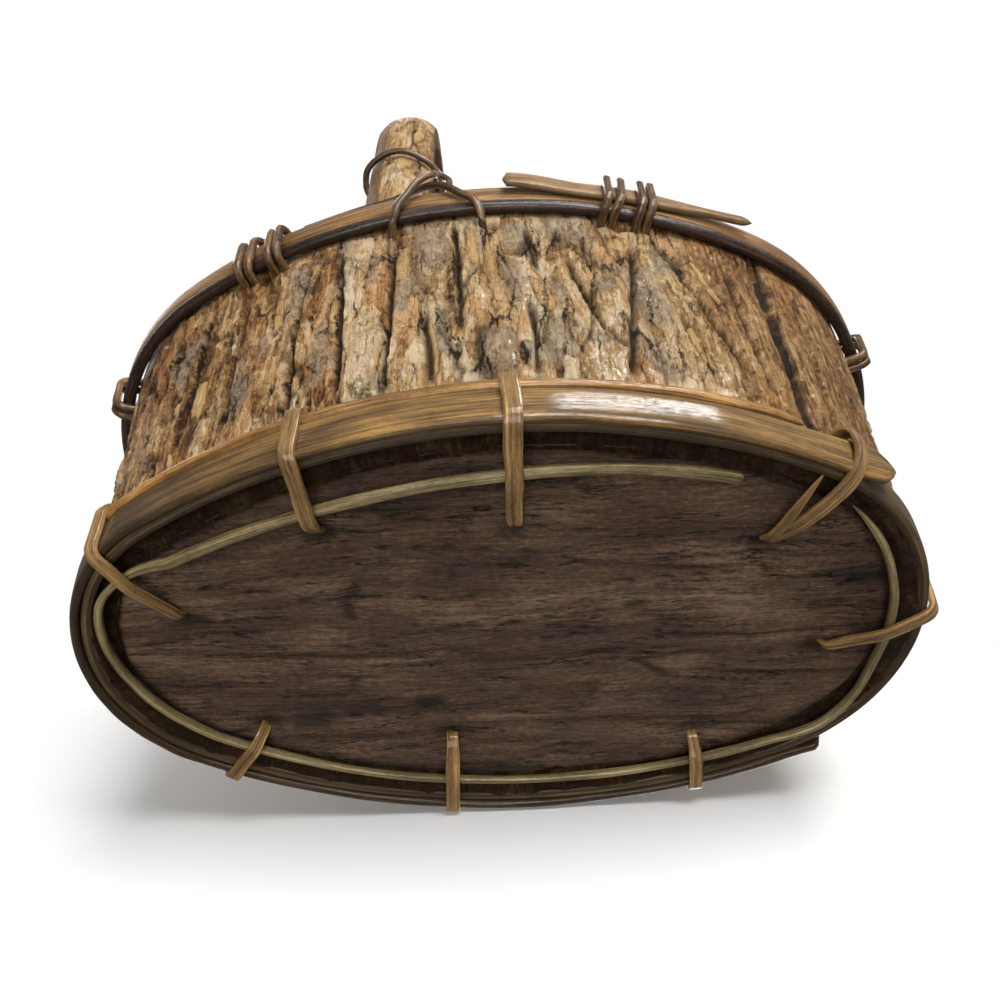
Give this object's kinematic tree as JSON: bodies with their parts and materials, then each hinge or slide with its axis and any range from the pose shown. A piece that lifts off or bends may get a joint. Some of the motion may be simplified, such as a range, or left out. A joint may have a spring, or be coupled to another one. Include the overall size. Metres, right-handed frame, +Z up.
{
  "type": "bark basket",
  "caption": "Oval flared basket of thick tree bark with a sewn-in bark base, split-cane hoops and stitches, and a bent branch handle.",
  "frame": {"origin": "middle of the outline at the surface that the basket stands on", "axes": "+Z up out of the basket's mouth, X along its long way, the seam side at the front towards -Y"},
  "size_m": [0.2181, 0.167, 0.2648],
  "materials": {
    "bark": "rough furrowed bark",
    "base_bark": "rough, grain along the long way",
    "cane_band": "satin split cane",
    "cane_light": "satin split cane",
    "cane_dark": "glossy stained cane",
    "cane_lashing": "satin stained cane",
    "branch": "bark outside, smooth split wood inside"
  },
  "bodies": {
    "root": {"wall_bark": "bark", "base_board": "base_bark", "base_under_band": "cane_band", "base_outer_band": "cane_band", "base_filler_cane": "cane_light", "base_inner_hoop": "cane_band", "stitch_front_left": "cane_light", "stitch_front_middle": "cane_light", "stitch_front_right": "cane_light", "stitch_right_end": "cane_light", "stitch_back_right": "cane_light", "stitch_back_middle": "cane_light", "stitch_back_left": "cane_light", "stitch_left_end": "cane_light", "rim_outer_hoop": "cane_dark", "rim_flat_hoop": "cane_light", "rim_lap_strip": "cane_light", "lashing_front_left": "cane_lashing", "lashing_front_right": "cane_lashing", "lashing_right_end": "cane_lashing", "lashing_back_right": "cane_lashing", "lashing_back_left": "cane_lashing", "lashing_left_end": "cane_lashing", "handle_branch": "branch", "handle_tie_front": "cane_dark", "handle_brace_front": "cane_dark", "handle_tie_back": "cane_dark", "handle_brace_back": "cane_dark"}
  },
  "joints": []
}
